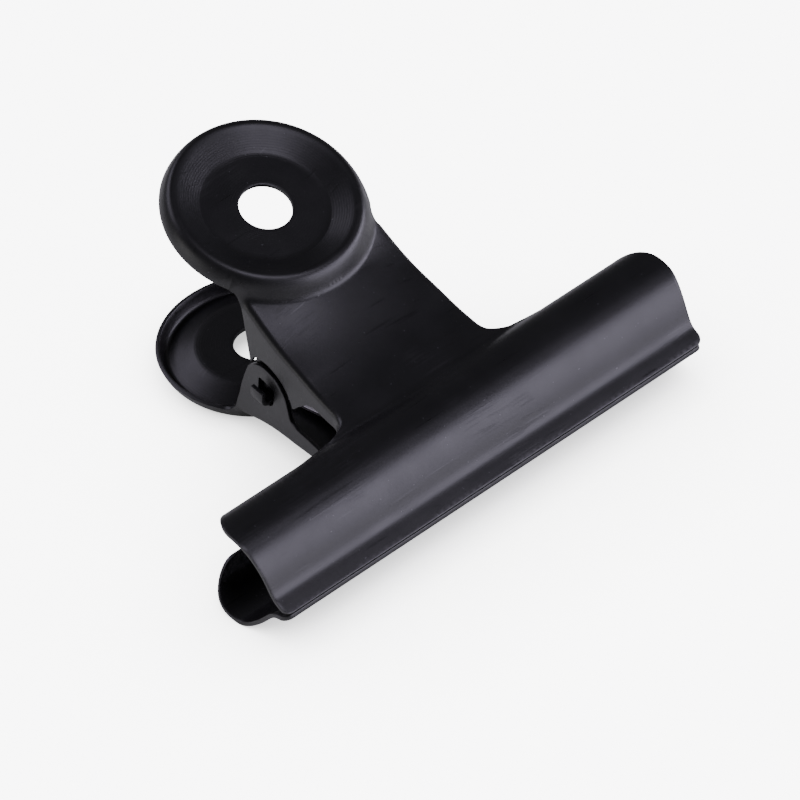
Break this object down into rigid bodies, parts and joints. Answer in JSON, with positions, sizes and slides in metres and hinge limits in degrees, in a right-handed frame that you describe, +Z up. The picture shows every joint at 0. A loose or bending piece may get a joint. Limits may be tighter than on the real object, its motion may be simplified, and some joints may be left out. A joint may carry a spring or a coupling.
{
  "type": "bulldog clip with round thumb discs",
  "caption": "Black enamelled steel paper clip: two stamped levers with a wide arched jaw and round thumb discs, hinged at their flanges and closed by a leaf spring.",
  "frame": {"origin": "middle of the bounding box's base, on the surface the clip lies on", "axes": "+X along the jaw, +Y from the lips to the thumb discs, +Z up; the clip lies on its lower jaw and lower thumb disc"},
  "size_m": [0.0778, 0.0646, 0.0362],
  "materials": {
    "black_enamel": "satin black stoved enamel over sheet steel, lightly scuffed",
    "spring_steel": "bare tempered strip steel"
  },
  "bodies": {
    "lower": {"lower_lever": "black_enamel", "leaf_spring": "spring_steel"},
    "upper": {"upper_lever": "black_enamel"}
  },
  "joints": [
    {"name": "jaw_hinge", "type": "hinge", "parent": "lower", "child": "upper", "pos_m": [0, 0.00075, 0.01041], "axis": [-1, 0, 0], "range_deg": [0, 38], "stiffness_Nm_per_rad": 0.5, "springref_deg": -45.84, "deforming": ["leaf_spring"]}
  ]
}
